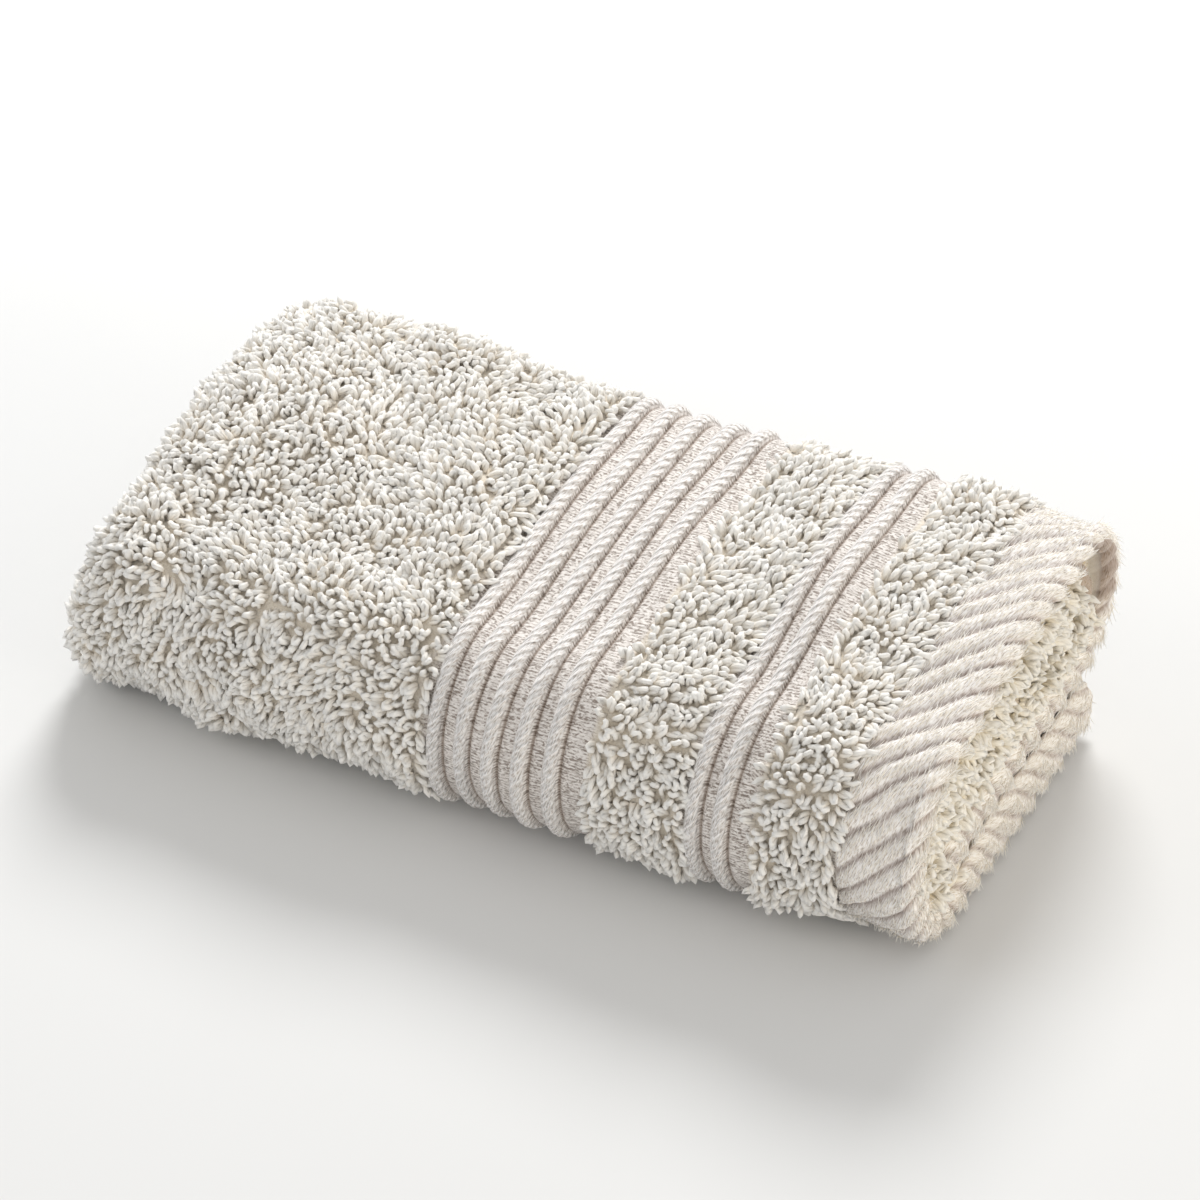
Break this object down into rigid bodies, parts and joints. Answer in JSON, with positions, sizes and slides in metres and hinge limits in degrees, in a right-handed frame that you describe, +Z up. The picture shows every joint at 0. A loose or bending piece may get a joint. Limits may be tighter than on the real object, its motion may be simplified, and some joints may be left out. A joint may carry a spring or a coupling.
{
  "type": "rolled guest towel",
  "caption": "Thick terry guest towel, folded in half and wound into a flattened roll, with raised cords across its loops and a slanted-rib hem at one end.",
  "frame": {"origin": "middle of the roll's footprint, on the surface it rests on", "axes": "+X along the roll towards the hems, +Y towards the tight back fold, +Z up"},
  "size_m": [0.242, 0.1322, 0.0657],
  "materials": {
    "cotton_terry": "undyed cotton, looped pile with woven cords, matt"
  },
  "bodies": {
    "root": {"towel": "cotton_terry"}
  },
  "joints": []
}
